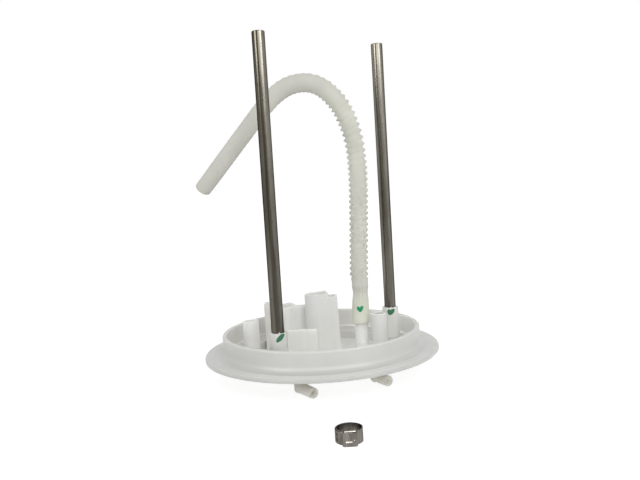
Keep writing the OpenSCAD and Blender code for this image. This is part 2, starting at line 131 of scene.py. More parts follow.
# Vent valve in the tall tower, and the tower beside it
VALVE = (-1.8, 12.0)
VALVE_TOP = 35.0
BOX_MOUTH = (7.7, 12.0, 33.0)
LEFT_TOWER = (-25.27, 24.0)
LEFT_TOWER_TOP = 25.5
FLOAT_Z = -2.7
FLOAT_L = 24.0
FLOAT_R = 6.3
WELL_R = 4.1
WELL_DEPTH = 12.0
CAP_Z = 25.6
SPRING_R = 3.2
WIRE_R = 0.3
SPRING_TURNS = 6
FAIRING_FROM = (VALVE[0] + 1.0, VALVE[1] - 8.35)
FAIRING_TO = (VALVE[0] + 14.4, VALVE[1] - 6.02)
FRONT_WALL = ((-23.0, 17.2), (-8.6, 17.2))
REAR_WALL = ((-20.5, 24.5), (-9.5, 24.5))

# Clamp
CLAMP = (12.0, -132.5)
CLAMP_R = 6.4
BAND_T = 0.6
EAR_Y = -141.5
STRAP_FROM = 282.0
STRAP_TO = 142.0
# Place across, height, width, tallness and depth of each ridge on the ear
BEADS = ((-0.8, 5.5, 3.8, 0.9, 0.2), (-0.5, 2.5, 3.4, 0.8, 0.45), (2.1, 3.3, 0.9, 0.7, 0.4))

# Blur between the painted light and shade tones of two rings of the flange
RING_BLUR = 0.8

# Colours of brush marks, and of painted light inside the tower's openings and the pipes' bores
MOUTH_PAINTED_LIGHT = {"dark": (243, 243, 240), "light": (240, 240, 237)}
BORE_PAINTED_LIGHT = {"dark": (216, 214, 206), "light": (210, 208, 200)}
GREEN = {"dark": (0, 128, 80), "light": (20, 165, 115)}
DULL_GREEN = {"dark": (28, 98, 62), "light": (60, 130, 92)}


# Colours

def tone(red, green, blue):
    """Scene colour of an 8-bit screen colour."""
    def straight(c):
        c = c / 255
        return c / 12.92 if c <= 0.04045 else ((c + 0.055) / 1.055) ** 2.4
    return (straight(red), straight(green), straight(blue), 1.0)


# Camera and studio

def photo_camera():
    data = bpy.data.cameras.new("photo_camera")
    data.lens = CAMERA_LENS
    data.sensor_width = 36
    camera = bpy.data.objects.new("photo_camera", data)
    bpy.context.scene.collection.objects.link(camera)
    camera.matrix_world = (
        Matrix.Translation(CAMERA_AT)
        @ Matrix.Rotation(math.radians(90 - CAMERA_DOWN), 4, "X")
        @ Matrix.Rotation(math.radians(-CAMERA_ROLL), 4, "Z"))
    bpy.context.scene.camera = camera


def seen_straight(tree):
    """1 for rays that come from the camera, a reflection or glass, else 0."""
    path = tree.nodes.new("ShaderNodeLightPath")
    first = tree.nodes.new("ShaderNodeMath")
    first.operation = "MAXIMUM"
    second = tree.nodes.new("ShaderNodeMath")
    second.operation = "MAXIMUM"
    tree.links.new(path.outputs["Is Camera Ray"], first.inputs[0])
    tree.links.new(path.outputs["Is Glossy Ray"], first.inputs[1])
    tree.links.new(first.outputs[0], second.inputs[0])
    tree.links.new(path.outputs["Is Transmission Ray"], second.inputs[1])
    return second.outputs[0]


def studio_world(level):
    """White surroundings, with a dimmer level for what lights the object."""
    world = bpy.data.worlds.new("studio_white")
    bpy.context.scene.world = world
    world.use_nodes = True
    tree = world.node_tree
    tree.nodes.clear()
    strength = tree.nodes.new("ShaderNodeMapRange")
    strength.inputs["To Min"].default_value = level
    strength.inputs["To Max"].default_value = 1.0
    glow = tree.nodes.new("ShaderNodeBackground")
    glow.inputs["Color"].default_value = (1, 1, 1, 1)
    out = tree.nodes.new("ShaderNodeOutputWorld")
    tree.links.new(seen_straight(tree), strength.inputs["Value"])
    tree.links.new(strength.outputs["Result"], glow.inputs["Strength"])
    tree.links.new(glow.outputs["Background"], out.inputs["Surface"])


def studio_floor():
    """White table, lit a little from below, that keeps a faint shadow."""
    material = bpy.data.materials.new("white_table")
    material.use_nodes = True
    tree = material.node_tree
    tree.nodes.clear()
    paper = tree.nodes.new("ShaderNodeBsdfDiffuse")
    paper.inputs["Color"].default_value = (0.5, 0.5, 0.5, 1)
    under = tree.nodes.new("ShaderNodeEmission")
    under.inputs["Strength"].default_value = 0.36
    table_light = tree.nodes.new("ShaderNodeAddShader")
    own = tree.nodes.new("ShaderNodeBsdfDiffuse")
    own.inputs["Color"].default_value = (0.3, 0.3, 0.3, 1)
    glow = tree.nodes.new("ShaderNodeEmission")
    glow.inputs["Strength"].default_value = 0.84
    lit = tree.nodes.new("ShaderNodeAddShader")
    mix = tree.nodes.new("ShaderNodeMixShader")
    out = tree.nodes.new("ShaderNodeOutputMaterial")
    tree.links.new(own.outputs[0], lit.inputs[0])
    tree.links.new(glow.outputs[0], lit.inputs[1])
    tree.links.new(seen_straight(tree), mix.inputs[0])
    tree.links.new(paper.outputs[0], table_light.inputs[0])
    tree.links.new(under.outputs[0], table_light.inputs[1])
    tree.links.new(table_light.outputs[0], mix.inputs[1])
    tree.links.new(lit.outputs[0], mix.inputs[2])
    tree.links.new(mix.outputs[0], out.inputs["Surface"])
    bm = bmesh.new()
    bmesh.ops.create_grid(bm, x_segments=1, y_segments=1, size=4)
    bmesh.ops.translate(bm, vec=(0, 0, STAND_Z * MM), verts=bm.verts)
    mesh = bpy.data.meshes.new("white_table")
    bm.to_mesh(mesh)
    bm.free()
    mesh.materials.append(material)
    table = bpy.data.objects.new("white_table", mesh)
    bpy.context.scene.collection.objects.link(table)


def soft_lamp(name, azimuth, distance, height, aim, size, power, mirrored_only=False):
    """Oblong lamp at an azimuth counted from the camera's side towards +X."""
    data = bpy.data.lights.new(name, "AREA")
    data.shape = "RECTANGLE"
    data.size, data.size_y = size
    data.energy = power
    lamp = bpy.data.objects.new(name, data)
    lamp.visible_diffuse = not mirrored_only
    lamp.visible_glossy = mirrored_only
    bpy.context.scene.collection.objects.link(lamp)
    angle = math.radians(azimuth)
    place = Vector((distance * math.sin(angle), -distance * math.cos(angle), height))
    lamp.location = place
    lamp.rotation_euler = (Vector((0, 0, aim)) - place).to_track_quat("-Z", "Y").to_euler()


def studio_lamps():
    soft_lamp("front_soft", 18, 1.0, 0.68, 0.1, (0.4, 0.7), 3.6)
    soft_lamp("left_box", -51, 0.98, 0.66, 0.1, (0.42, 0.7), 8.5, mirrored_only=True)
    soft_lamp("right_box", 37, 1.03, 0.66, 0.1, (0.6, 0.7), 6.8, mirrored_only=True)
    soft_lamp("low_front", 4, 0.62, 0.37, 0.0, (0.4, 0.2), 1.6, mirrored_only=True)
    soft_lamp("high_right", 65, 0.8, 0.9, 0.0, (0.35, 0.35), 2.2, mirrored_only=True)


# Effects shared by several materials

def new_group(name, numbers, outputs):
    """A shader node group that takes a place and some numbers."""
    group = bpy.data.node_groups.new(name, "ShaderNodeTree")
    group.interface.new_socket("Place", in_out="INPUT", socket_type="NodeSocketVector")
    for label, value in numbers.items():
        socket = group.interface.new_socket(label, in_out="INPUT", socket_type="NodeSocketFloat")
        socket.default_value = value
    for label in outputs:
        group.interface.new_socket(label, in_out="OUTPUT", socket_type="NodeSocketFloat")
    return group, group.nodes.new("NodeGroupInput"), group.nodes.new("NodeGroupOutput")


def feed(tree, socket, value):
    """Gives a socket a fixed value or another node's output."""
    if isinstance(value, bpy.types.NodeSocket):
        tree.links.new(value, socket)
    else:
        socket.default_value = value


def number(tree, operation, *values):
    """Result of one operation on numbers or sockets."""
    made = tree.nodes.new("ShaderNodeMath")
    made.operation = operation
    for socket, value in zip(made.inputs, values):
        feed(tree, socket, value)
    return made.outputs[0]


def spread(tree, value, low, high, to_low=0.0, to_high=1.0):
    """Turns a range of a mask into another range."""
    made = tree.nodes.new("ShaderNodeMapRange")
    made.inputs["From Min"].default_value = low
    made.inputs["From Max"].default_value = high
    made.inputs["To Min"].default_value = to_low
    made.inputs["To Max"].default_value = to_high
    tree.links.new(value, made.inputs["Value"])
    return made.outputs["Result"]


def cloud(tree, place, scale, stretch=(1, 1, 1), detail=3.0, roughness=0.5):
    """Noise over the surface, with a size in features per metre."""
    stretched = tree.nodes.new("ShaderNodeMapping")
    stretched.inputs["Scale"].default_value = stretch
    made = tree.nodes.new("ShaderNodeTexNoise")
    made.inputs["Detail"].default_value = detail
    made.inputs["Roughness"].default_value = roughness
    feed(tree, made.inputs["Scale"], scale)
    tree.links.new(place, stretched.inputs["Vector"])
    tree.links.new(stretched.outputs["Vector"], made.inputs["Vector"])
    return made.outputs["Fac"]


def mould_marks_group():
    """Clouding, flow streaks and grain of moulded plastic."""
    group, given, out = new_group(
        "mould_marks", {"Cloud Scale": 60.0, "Streak Scale": 260.0, "Grain Scale": 1800.0},
        ("Cloud", "Streak", "Height"))
    place = given.outputs["Place"]
    clouds = cloud(group, place, given.outputs["Cloud Scale"], detail=4.0)
    streaks = cloud(group, place, given.outputs["Streak Scale"], stretch=(1, 1, 0.05), detail=2.0)
    grain = cloud(group, place, given.outputs["Grain Scale"], detail=2.0)
    group.links.new(spread(group, clouds, 0.32, 0.68), out.inputs["Cloud"])
    group.links.new(spread(group, streaks, 0.35, 0.7), out.inputs["Streak"])
    fine = number(group, "MULTIPLY_ADD", grain, 0.25, number(group, "MULTIPLY", streaks, 0.5))
    group.links.new(number(group, "MULTIPLY_ADD", clouds, 1.6, fine), out.inputs["Height"])
    return group


def metal_marks_group():
    """Drawing lines, stains and pits of a worn metal."""
    group, given, out = new_group(
        "metal_marks", {"Line Scale": 900.0, "Stain Scale": 160.0, "Pit Scale": 700.0},
        ("Line", "Stain", "Pit", "Height"))
    place = given.outputs["Place"]
    lines = cloud(group, place, given.outputs["Line Scale"], stretch=(1, 1, 0.02), detail=3.0)
    stains = cloud(
        group, place, given.outputs["Stain Scale"], stretch=(1, 1, 0.3), detail=5.0, roughness=0.65)
    pits = cloud(group, place, given.outputs["Pit Scale"], detail=2.0)
    pit_mask = spread(group, pits, 0.68, 0.74)
    group.links.new(spread(group, lines, 0.35, 0.68), out.inputs["Line"])
    group.links.new(spread(group, stains, 0.38, 0.66), out.inputs["Stain"])
    group.links.new(pit_mask, out.inputs["Pit"])
    height = number(group, "MULTIPLY_ADD", pit_mask, -0.8, number(group, "MULTIPLY", lines, 0.6))
    group.links.new(height, out.inputs["Height"])
    return group


# Materials

def new_material(name):
    """A material with its shader, and the place on the object that its patterns read."""
    material = bpy.data.materials.new(name)
    material.use_nodes = True
    tree = material.node_tree
    shader = tree.nodes["Principled BSDF"]
    place = tree.nodes.new("ShaderNodeTexCoord").outputs["Object"]
    return material, tree, shader, place


def placed_group(tree, group, place, **values):
    """The group in a material, with its own values."""
    made = tree.nodes.new("ShaderNodeGroup")
    made.node_tree = group
    tree.links.new(place, made.inputs["Place"])
    for label, value in values.items():
        made.inputs[label.replace("_", " ")].default_value = value
    return made.outputs


def blended(tree, factor, first, second):
    """Colour between two colours or sockets."""
    mix = tree.nodes.new("ShaderNodeMix")
    mix.data_type = "RGBA"
    sockets = {s.identifier: s for s in mix.inputs}
    for key, value in (("Factor_Float", factor), ("A_Color", first), ("B_Color", second)):
        feed(tree, sockets[key], value)
    return {s.identifier: s for s in mix.outputs}["Result_Color"]


def bumped(tree, shader, height, strength, distance):
    """Gives a shader its fine relief."""
    bump = tree.nodes.new("ShaderNodeBump")
    bump.inputs["Strength"].default_value = strength
    bump.inputs["Distance"].default_value = distance
    tree.links.new(height, bump.inputs["Height"])
    tree.links.new(bump.outputs["Normal"], shader.inputs["Normal"])


def dab(tree, place, centre, turn, half, wobble):
    """Mask of a small brush mark, also used for patches of painted light: an ellipsoid at a point, turned
    about Y, all in millimetres.
    """
    own = tree.nodes.new("ShaderNodeMapping")
    own.vector_type = "TEXTURE"
    own.inputs["Location"].default_value = [c * MM for c in centre]
    own.inputs["Rotation"].default_value = (0, math.radians(turn), 0)
    own.inputs["Scale"].default_value = [c * MM for c in half]
    tree.links.new(place, own.inputs["Vector"])
    length = tree.nodes.new("ShaderNodeVectorMath")
    length.operation = "LENGTH"
    tree.links.new(own.outputs["Vector"], length.inputs[0])
    edge = number(tree, "MULTIPLY_ADD", wobble, 0.5, length.outputs["Value"])
    return spread(tree, edge, 1.3, 1.18)


def distance_out(tree, place):
    """Distance from the Z axis."""
    flat = tree.nodes.new("ShaderNodeVectorMath")
    flat.operation = "MULTIPLY"
    flat.inputs[1].default_value = (1, 1, 0)
    tree.links.new(place, flat.inputs[0])
    length = tree.nodes.new("ShaderNodeVectorMath")
    length.operation = "LENGTH"
    tree.links.new(flat.outputs["Vector"], length.inputs[0])
    return length.outputs["Value"]


def along(tree, place, axis):
    """Place along the axis X, Y or Z."""
    parts = tree.nodes.new("ShaderNodeSeparateXYZ")
    tree.links.new(place, parts.inputs["Vector"])
    return parts.outputs[axis]


def painted_shading(tree, place, skin, shading_fades):
    """Painted light and shade, passing a tone into others. Each fade is its axis, start, end and tone."""
    for axis, start, end, other in shading_fades:
        beyond = spread(tree, along(tree, place, axis), start * MM, end * MM)
        skin = blended(tree, beyond, skin, tone(*other))
    return skin


def ring_light_and_shade(tree, place, skin, rings):
    """Painted light and shade on rings round the flange's axis, from the outermost inwards, each with tone
    changes of its own along the axes.
    """
    for radius, other, *shading_fades in rings:
        within = spread(tree, distance_out(tree, place), radius * MM, (radius - RING_BLUR) * MM)
        skin = blended(tree, within, skin, painted_shading(tree, place, tone(*other), shading_fades))
    return skin


def painted(tree, place, skin, paint_and_light):
    """Brush marks of paint, and patches of painted light, over a skin."""
    wobble = cloud(tree, place, 1500, detail=3.0)
    mask = 0.0
    for centre, turn, half in paint_and_light["marks"]:
        mask = number(tree, "MAXIMUM", mask, dab(tree, place, centre, turn, half, wobble))
    brush = cloud(tree, place, 900, stretch=(1, 1, 2), detail=2.0)
    ink = blended(tree, brush, tone(*paint_and_light["dark"]), tone(*paint_and_light["light"]))
    return blended(tree, mask, skin, ink)


def plastic(name, colour, marks, roughness=0.4, glow=0.8, depth=0.003, clouding=0.93, paint_and_light=None,
            rings=(), shading_fades=(), dull_ends=()):
    """Natural moulded plastic, a little see-through, with clouding and flow streaks, and with painted light
    and shade in its ring tones and fades.

    Each dull end is an axis and two places along it, from not see-through to fully so.
    """
    material, tree, shader, place = new_material(name)
    found = placed_group(tree, marks, place)
    # Painted light and shade: ring tones round the axis, then fades along the axes
    skin = painted_shading(tree, place, ring_light_and_shade(tree, place, tone(*colour), rings), shading_fades)
    amount = number(tree, "MULTIPLY", found["Cloud"], 0.7)
    amount = number(tree, "MULTIPLY_ADD", found["Streak"], 0.3, amount)
    clouded = tree.nodes.new("ShaderNodeHueSaturation")
    tree.links.new(spread(tree, amount, 0, 1, 1, clouding), clouded.inputs["Value"])
    feed(tree, clouded.inputs["Color"], skin)
    skin = clouded.outputs["Color"]
    # Brush marks of paint, and patches of painted light inside openings
    if paint_and_light:
        skin = painted(tree, place, skin, paint_and_light)
    for axis, dull, clear in dull_ends:
        inner = spread(tree, along(tree, place, axis), dull * MM, clear * MM)
        glow = number(tree, "MULTIPLY", inner, glow)
    gloss = spread(tree, found["Cloud"], 0, 1, roughness - 0.06, roughness + 0.08)
    tree.links.new(skin, shader.inputs["Base Color"])
    tree.links.new(gloss, shader.inputs["Roughness"])
    shader.subsurface_method = "BURLEY"
    feed(tree, shader.inputs["Subsurface Weight"], glow)
    shader.inputs["Subsurface Radius"].default_value = (1.0, 1.0, 0.9)
    shader.inputs["Subsurface Scale"].default_value = depth
    shader.inputs["IOR"].default_value = 1.45
    bumped(tree, shader, found["Height"], 0.06, 0.0004)
    return material


def round_the_rod(tree, place, at):
    """0 to 1 once round a rod from its back, with a slow wander along it."""
    own = tree.nodes.new("ShaderNodeMapping")
    own.vector_type = "TEXTURE"
    own.inputs["Location"].default_value = (at[0] * MM, at[1] * MM, 0)
    tree.links.new(place, own.inputs["Vector"])
    parts = tree.nodes.new("ShaderNodeSeparateXYZ")
    tree.links.new(own.outputs["Vector"], parts.inputs["Vector"])
    angle = number(tree, "ARCTAN2", parts.outputs["X"], number(tree, "MULTIPLY", parts.outputs["Y"], -1.0))
    wander = cloud(tree, place, 22, stretch=(0.2, 0.2, 1), detail=3.0)
    return number(tree, "MULTIPLY_ADD", angle, 1 / TURN, number(tree, "MULTIPLY_ADD", wander, 0.1, 0.45))


def painted_reflection_bands(tree, where, stops):
    """Painted reflections as colours round a rod, from its back over its front at 0.5 to its back again."""
    made = tree.nodes.new("ShaderNodeValToRGB")
    ramp = made.color_ramp
    while len(ramp.elements) < len(stops):
        ramp.elements.new(0.5)
    for element, (position, grey) in zip(ramp.elements, stops):
        element.position = position
        element.color = tone(grey + 2, grey, grey - 7)
    tree.links.new(where, made.inputs["Fac"])
    return made.outputs["Color"]


def rod_metal(name, marks, at, middle, foot):
    """Dull steel with painted reflections in lengthwise bands round it, a painted highlight towards its
    top, lines along it, faint brown stains and a few pits.
    """
    material, tree, shader, place = new_material(name)
    found = placed_group(tree, marks, place)
    where = round_the_rod(tree, place, at)
    height = along(tree, place, "Z")
    # Painted reflections: other bands at the rod's foot, where it faces the pale flange
    low = spread(tree, height, 85 * MM, 45 * MM)
    reflection_banded = blended(tree, low, painted_reflection_bands(tree, where, middle), painted_reflection_bands(tree, where, foot))
    # Painted highlight: the rod is brighter towards its top
    top_highlight = tree.nodes.new("ShaderNodeHueSaturation")
    tree.links.new(spread(tree, height, 100 * MM, 135 * MM, 1.0, 1.55), top_highlight.inputs["Value"])
    tree.links.new(reflection_banded, top_highlight.inputs["Color"])
    lines = number(tree, "MULTIPLY", found["Line"], 0.22)
    lined = blended(tree, lines, top_highlight.outputs["Color"], tone(132, 128, 118))
    stained = blended(tree, number(tree, "MULTIPLY", found["Stain"], 0.3), lined, tone(66, 54, 46))
    pitted = blended(tree, number(tree, "MULTIPLY", found["Pit"], 0.6), stained, tone(40, 36, 32))
    tree.links.new(pitted, shader.inputs["Base Color"])
    shader.inputs["Metallic"].default_value = 1.0
    shader.inputs["Specular Tint"].default_value = (0.25, 0.23, 0.21, 1)
    tree.links.new(spread(tree, found["Line"], 0, 1, 0.16, 0.21), shader.inputs["Roughness"])
    bumped(tree, shader, found["Height"], 0.02, 0.00002)
    return material


def thin_metal(name, colour, stain, marks, low, high):
    """Rolled or drawn metal with fine lines and stains."""
    material, tree, shader, place = new_material(name)
    found = placed_group(tree, marks, place, Line_Scale=1600.0, Stain_Scale=300.0, Pit_Scale=1500.0)
    worn = number(tree, "MULTIPLY_ADD", found["Line"], 0.4, number(tree, "MULTIPLY", found["Stain"], 0.6))
    tree.links.new(blended(tree, worn, tone(*colour), tone(*stain)), shader.inputs["Base Color"])
    shader.inputs["Metallic"].default_value = 1.0
    shader.inputs["Specular Tint"].default_value = (0.5, 0.48, 0.46, 1)
    tree.links.new(spread(tree, found["Stain"], 0, 1, low, high), shader.inputs["Roughness"])
    bumped(tree, shader, found["Height"], 0.25, 0.0002)
    return material


def dark_foam(name, marks):
    """Fine-grained dark float rubber."""
    material, tree, shader, place = new_material(name)
    found = placed_group(tree, marks, place, Grain_Scale=4000.0)
    foam = blended(tree, found["Cloud"], tone(52, 52, 56), tone(70, 69, 70))
    tree.links.new(foam, shader.inputs["Base Color"])
    tree.links.new(spread(tree, found["Streak"], 0, 1, 0.55, 0.7), shader.inputs["Roughness"])
    bumped(tree, shader, found["Height"], 0.3, 0.0002)
    return material


# Shapes

def in_order(bm):
    """Puts a spun shape's vertices, edges and faces in an order that is the same in every run."""
    ranks = {vert: n for n, vert in enumerate(sorted(bm.verts, key=lambda vert: tuple(vert.co)))}
    bm.verts.sort(key=ranks.get)
    for parts in (bm.edges, bm.faces):
        listed = sorted(parts, key=lambda part: sorted(ranks[vert] for vert in part.verts))
        places = {part: n for n, part in enumerate(listed)}
        parts.sort(key=places.get)


def turned(corners, steps=96, ring=False):
    """A turned shape round Z. Each corner is its radius, height and rounding; a ring closes on itself."""
    bm = bmesh.new()
    points = [bm.verts.new((corner[0], 0, corner[1])) for corner in corners]
    for pair in zip(points, points[1:]):
        bm.edges.new(pair)
    if ring:
        bm.edges.new((points[-1], points[0]))
    for point, corner in zip(points, corners):
        if corner[2]:
            bmesh.ops.bevel(
                bm, geom=[point], offset=corner[2], offset_type="OFFSET", affect="VERTICES",
                segments=5, profile=0.5, material=-1)
    bmesh.ops.spin(
        bm, geom=bm.verts[:] + bm.edges[:], cent=(0, 0, 0), axis=(0, 0, 1), angle=TURN,
        steps=steps, use_merge=True)
    bmesh.ops.remove_doubles(bm, verts=bm.verts, dist=0.0005)
    in_order(bm)
    bmesh.ops.recalc_face_normals(bm, faces=bm.faces)
    return bm


def moved(bm, at, z=0.0):
    """Shifts a shape."""
    bmesh.ops.translate(bm, vec=(at[0], at[1], z), verts=bm.verts)
    return bm


def joined(*shapes):
    """One bmesh from several."""
    whole = bmesh.new()
    for shape in shapes:
        mesh = bpy.data.meshes.new("part")
        shape.to_mesh(mesh)
        shape.free()
        whole.from_mesh(mesh)
        bpy.data.meshes.remove(mesh)
    return whole


def softened(node, width, steps=2, sharp=28):
    """The CAD node's own shape with its doubles merged and its sharp edges rounded."""
    bm = bmesh.new()
    bm.from_mesh(bpy.data.objects[node].data)
    bmesh.ops.scale(bm, vec=(1 / MM, 1 / MM, 1 / MM), verts=bm.verts)
    bmesh.ops.remove_doubles(bm, verts=bm.verts, dist=0.003)
    bmesh.ops.dissolve_limit(
        bm, angle_limit=math.radians(0.8), use_dissolve_boundaries=False, verts=bm.verts, edges=bm.edges)
    if width:
        edges = [e for e in bm.edges
                 if len(e.link_faces) == 2 and e.calc_face_angle(0) > math.radians(sharp)]
        bmesh.ops.bevel(
            bm, geom=edges, offset=width, offset_type="OFFSET", affect="EDGES", segments=steps,
            profile=0.5, material=-1, clamp_overlap=True)
    return bm


def settled(bm, name, material, replaced, body="unit", crease=40):
    """Turns a shape into a piece of the model, in metres at the origin."""
    bmesh.ops.scale(bm, vec=(MM, MM, MM), verts=bm.verts)
    mesh = bpy.data.meshes.new(name)
    bm.to_mesh(mesh)
    bm.free()
    mesh.materials.append(material)
    mesh.shade_smooth()
    mesh.set_sharp_from_angle(angle=math.radians(crease))
    piece = bpy.data.objects.new(name, mesh)
    bpy.context.scene.collection.objects.link(piece)
    even = piece.modifiers.new("even_shading", "WEIGHTED_NORMAL")
    even.keep_sharp = True
    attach(piece, body)
    if replaced:
        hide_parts(*replaced)
    return piece


# Hose

def smooth_line(points, steps):
    """Smooth curve through the route, upright at its start and on the end cuff's line at its end."""
    first = (points[1][0], 2 * points[0][1] - points[1][1])
    last = points[-1]
    reach = math.dist(points[-2], last)
    end = math.radians(END_ANGLE)
    after = (points[-2][0] - 2 * reach * math.cos(end), points[-2][1] - 2 * reach * math.sin(end))
    all_points = [Vector(p) for p in [first] + list(points) + [after]]
    line = []
    for i in range(1, len(all_points) - 2):
        a, b, c, d = all_points[i - 1:i + 3]
        for k in range(steps):
            t = k / steps
            line.append(0.5 * (2 * b + (c - a) * t + (2 * a - 5 * b + 4 * c - d) * t * t
                               + (3 * b - 3 * c + d - a) * t * t * t))
    line.append(Vector(last))
    return line


class Way:
    """The hose's middle line, found by distance along it."""

    def __init__(self, points, steps=60):
        self.line = smooth_line(points, steps)
        self.along = [0.0]
        for a, b in zip(self.line, self.line[1:]):
            self.along.append(self.along[-1] + (b - a).length)
        self.length = self.along[-1]

    def at(self, s):
        """Point and direction at a distance, in the plane of the hose."""
        s = min(max(s, 0.0), self.length)
        low, high = 0, len(self.along) - 1
        while high - low > 1:
            middle = (low + high) // 2
            if self.along[middle] <= s:
                low = middle
            else:
                high = middle
        span = self.along[high] - self.along[low]
        t = (s - self.along[low]) / span
        point = self.line[low].lerp(self.line[high], t)
        before = self.line[max(low - 6, 0)]
        after = self.line[min(high + 6, len(self.line) - 1)]
        return point, (after - before).normalized()


def eased(value, low, high):
    """0 to 1 from a low to a high value, with a smooth start and end."""
    t = min(max((value - low) / (high - low), 0.0), 1.0)
    return t * t * (3 - 2 * t)


def changed(value, changes, part):
    """A value of the hose at a part of its length."""
    for amount, low, high in changes:
        value += amount * eased(part, low, high)
    return value


def rib_height(phase, point):
    """-1 to 1 over a rib: round crests and V-shaped grooves, or pointed crests on the arc."""
    wave = abs(math.cos(math.pi * phase))
    round_crest = 2 * wave - 1
    pointed = 1 - 4 * abs(phase - round(phase))
    return round_crest + (pointed - round_crest) * point


def even_side(out):
    """Direction out of a tube, turned towards the front or the back, as its pale sides look."""
    return (out.normalized() + Vector((0, math.copysign(SIDE_TURN, out.y), 0))).normalized()


def corrugated_hose(way):
    """Ribbed tube, laid along its way. Returns it, its ring centres and its shading directions."""
    rings = RIBS * RIB_STEPS
    step = way.length / rings
    outside = []
    for n in range(rings + 1):
        part = n / rings
        phase = changed(n / RIB_STEPS + RIB_SHIFT, RIB_SHIFT_CHANGES, part)
        point = changed(RIB_POINT, RIB_POINT_CHANGES, part)
        taper = eased(part, 0.012, 0.028) * eased(1 - part, 0, 0.012)
        rib = taper * changed(RIB_DEPTH, RIB_DEPTH_CHANGES, part) * rib_height(phase, point)
        outside.append((changed(HOSE_R, HOSE_R_CHANGES, part) + rib, n * step, 0))
    inside = [(HOSE_BORE_R, n * step, 0) for n in range(rings, -1, -1)]
    bm = turned(outside + inside, steps=HOSE_SIDES, ring=True)
    bm.verts.index_update()
    facing = []
    for vert in bm.verts:
        centre, run = way.at(vert.co.z)
        across = Vector((run[1], -run[0]))
        out = Vector((across[0] * vert.co.x, vert.co.y, across[1] * vert.co.x))
        facing.append(even_side(out) if out.length > HOSE_BORE_R + 0.1 else -out.normalized())
        leaning = CUFF_LEAN * (1 - eased(vert.co.z, 3, 8.5))
        vert.co = Vector((centre[0] + leaning, 0, centre[1])) + out
    centres = [way.at(n * step)[0] for n in range(rings + 1)]
    return bm, [(c[0] * MM, 0.0, c[1] * MM) for c in centres], facing


def calm(piece, facing, share):
    """Turns a piece's shading normals part of the way to given directions, as see-through ribs look."""
    piece.modifiers.remove(piece.modifiers["even_shading"])
    mesh = piece.data
    turned_normals = [
        vert.normal.lerp(direction, share).normalized() if direction else vert.normal.copy()
        for vert, direction in zip(mesh.vertices, facing)]
    mesh.normals_split_custom_set_from_vertices(turned_normals)


def lower_cuff():
    """Cuff over the stem's barbs, with lengthwise wrinkles and a waist below the ribs."""
    bm = turned([
        (HOSE_BORE_R, 15, 0), (CUFF_R, 15, 0.7), (CUFF_R, 20, 0), (CUFF_R - 0.08, 26, 0),
        (CUFF_R - 0.35, 30.5, 0), (5.2, 34, 0), (4.98, 36.3, 0), (5.15, 38, 0), (5.45, 39.6, 0),
        (5.6, CUFF_TOP, 0), (HOSE_BORE_R, CUFF_TOP, 0)], steps=120, ring=True)
    tall = [e for e in bm.edges if abs(e.verts[0].co.z - e.verts[1].co.z) > 1.2]
    bmesh.ops.subdivide_edges(bm, edges=tall, cuts=3, use_grid_fill=True)
    for vert in bm.verts:
        radius = math.hypot(vert.co.x, vert.co.y)
        if radius > HOSE_BORE_R + 0.2:
            angle = math.atan2(vert.co.y, vert.co.x)
            high = eased(vert.co.z, 24, 34)
            crease = math.sin(17 * angle + 0.12 * vert.co.z) + 0.6 * math.sin(29 * angle + 1.3)
            vert.co.xy *= 1 + (0.17 * high * crease + 0.03 * math.sin(5 * angle + 0.3 * vert.co.z)) / radius
        vert.co.x += CUFF_LEAN * eased(vert.co.z, 24, 37) - 0.2 * (1 - eased(vert.co.z, 15, 24))
    return moved(bm, STEM)


def end_cuff():
    """Plain free end of the hose, rounded at its mouth, which is cut a little askew."""
    mouth = END_CUFF_L - 0.7
    bm = turned([
        (HOSE_BORE_R, 0, 0), (END_CUFF_R + 0.04, 0, 0), (END_CUFF_R - 0.02, 3, 0), (END_CUFF_R - 0.1, 7, 0),
        (END_CUFF_R - 0.15, 12, 0), (END_CUFF_R - 0.2, mouth, 1.3), (HOSE_BORE_R, mouth, 0.05)], ring=True)
    for vert in bm.verts:
        vert.co.z -= END_SKEW * vert.co.y * eased(vert.co.z, 10, END_CUFF_L - 2.5)
    bm.verts.index_update()
    turn = Matrix.Rotation(math.radians(270 - END_ANGLE), 4, "Y")
    facing = []
    for vert in bm.verts:
        out = Vector((vert.co.x, vert.co.y, 0))
        plain = out.length > HOSE_BORE_R + 0.2 and vert.co.z < END_CUFF_L - 3.5
        facing.append(even_side(turn @ out) if plain else None)
    bmesh.ops.transform(bm, matrix=turn, verts=bm.verts)
    end = ROUTE[-1]
    return moved(bm, (end[0], 0), end[1]), facing


def make_hose(materials):
    """The cord with its two plain ends."""
    way = Way(ROUTE)
    bm, centres, facing = corrugated_hose(way)
    cuff = settled(lower_cuff(), "lower_cuff", materials["cuff"], ["hose_lower_cuff"])
    tip_shape, tip_facing = end_cuff()
    tip = settled(tip_shape, "end_cuff", materials["hose"], ["hose_end_cuff"])
    calm(tip, tip_facing, 1.0)
    hose = settled(bm, "corrugated_hose", materials["hose"], ["hose"], crease=80)
    calm(hose, facing, HOSE_CALM)


# Flange

def boss(at, radius, low, high, rounding):
    """Round boss that reaches up into the flange."""
    return moved(turned([(0, low, 0), (radius, low, rounding), (radius, high, 0), (0, high, 0)]), at)


